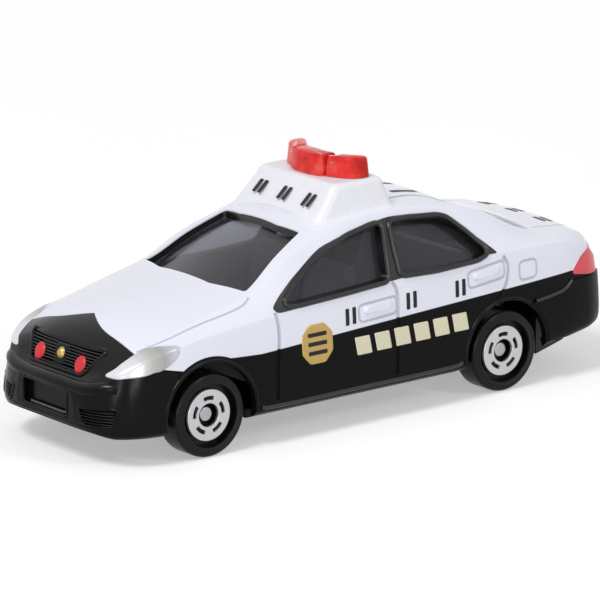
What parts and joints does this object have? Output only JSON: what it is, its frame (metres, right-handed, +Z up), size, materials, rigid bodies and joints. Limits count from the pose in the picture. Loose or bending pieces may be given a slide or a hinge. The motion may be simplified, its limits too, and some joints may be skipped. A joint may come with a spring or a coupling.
{
  "type": "toy police car",
  "caption": "Small die-cast toy police sedan with free-rolling wheels on sprung axles, smoked glazing, a cabin inside, and a roof box that carries a red warning light.",
  "frame": {"origin": "centre of the car's plan on the floor under the wheels", "axes": "+X to the front of the car, +Y to its left side, +Z up"},
  "size_m": [0.0732, 0.0268, 0.0295],
  "materials": {
    "painted_casting": "gloss white over black",
    "black_plastic": "satin black",
    "base_plastic": "matt black",
    "smoked_glazing": "clear smoked",
    "cabin_plastic": "matt grey",
    "white_plastic": "gloss white",
    "red_lens": "clear red",
    "clear_lens": "pearl silver",
    "bright_steel": "plain",
    "spring_steel": "plain",
    "wheel_plastic": "satin black",
    "bright_disc": "bright silver"
  },
  "bodies": {
    "car_body": {"body_shell": "painted_casting", "front_fascia": "black_plastic", "chassis": "base_plastic", "window_glazing": "smoked_glazing", "cabin_interior": "cabin_plastic", "roof_box": "white_plastic", "warning_light": "red_lens", "headlamp_left": "clear_lens", "headlamp_right": "clear_lens", "tail_lamp_left": "red_lens", "tail_lamp_right": "red_lens", "leaf_spring": "spring_steel", "chassis_rivets": "bright_steel"},
    "front_axle": {"front_axle": "bright_steel"},
    "rear_axle": {"rear_axle": "bright_steel"},
    "front_left_wheel": {"wheel_front_left": "wheel_plastic", "disc_front_left": "bright_disc"},
    "front_right_wheel": {"wheel_front_right": "wheel_plastic", "disc_front_right": "bright_disc"},
    "rear_left_wheel": {"wheel_rear_left": "wheel_plastic", "disc_rear_left": "bright_disc"},
    "rear_right_wheel": {"wheel_rear_right": "wheel_plastic", "disc_rear_right": "bright_disc"}
  },
  "joints": [
    {"name": "front_axle_travel", "type": "slide", "parent": "car_body", "child": "front_axle", "axis": [0, 0, 1], "range_m": [0, 0.0008], "stiffness_N_per_m": 600, "springref_m": -0.0008, "deforming": ["leaf_spring"]},
    {"name": "rear_axle_travel", "type": "slide", "parent": "car_body", "child": "rear_axle", "axis": [0, 0, 1], "range_m": [0, 0.0008], "stiffness_N_per_m": 600, "springref_m": -0.0008, "deforming": ["leaf_spring"]},
    {"name": "front_left_wheel_spin", "type": "hinge", "parent": "front_axle", "child": "front_left_wheel", "pos_m": [0.0231, 0, 0.00485], "axis": [0, 1, 0], "continuous": true},
    {"name": "front_right_wheel_spin", "type": "hinge", "parent": "front_axle", "child": "front_right_wheel", "pos_m": [0.0231, 0, 0.00485], "axis": [0, 1, 0], "continuous": true},
    {"name": "rear_left_wheel_spin", "type": "hinge", "parent": "rear_axle", "child": "rear_left_wheel", "pos_m": [-0.0201, 0, 0.00485], "axis": [0, 1, 0], "continuous": true},
    {"name": "rear_right_wheel_spin", "type": "hinge", "parent": "rear_axle", "child": "rear_right_wheel", "pos_m": [-0.0201, 0, 0.00485], "axis": [0, 1, 0], "continuous": true}
  ]
}
